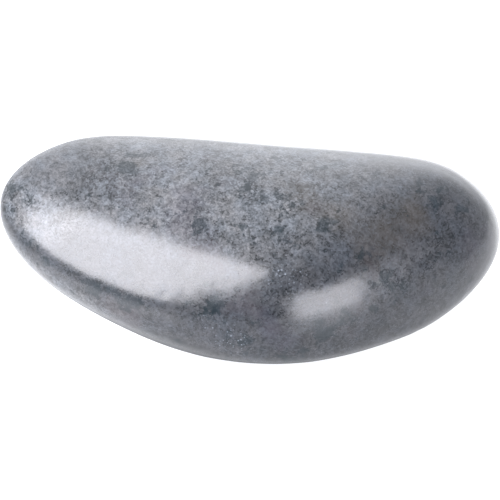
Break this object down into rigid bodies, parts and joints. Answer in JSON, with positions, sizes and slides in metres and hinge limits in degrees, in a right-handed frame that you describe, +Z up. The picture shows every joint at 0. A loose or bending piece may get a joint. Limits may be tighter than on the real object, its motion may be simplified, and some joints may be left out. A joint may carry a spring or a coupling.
{
  "type": "river pebble",
  "caption": "Flat, rounded river pebble of dark blue-grey, fine-grained stone, worn smooth and softly glossy, with a straight back edge, blunt ends and a small flat to rest on.",
  "frame": {"origin": "middle of the pebble's length and width, at the height of the flat that it rests on", "axes": "+X along the pebble's length, towards its blunter end; +Y across it, towards its straight back; +Z up, through its thickness"},
  "size_m": [0.0772, 0.044, 0.0279],
  "materials": {
    "basalt": "water-worn, softly glossy, fine-grained, dark blue-grey"
  },
  "bodies": {
    "root": {"pebble": "basalt"}
  },
  "joints": []
}
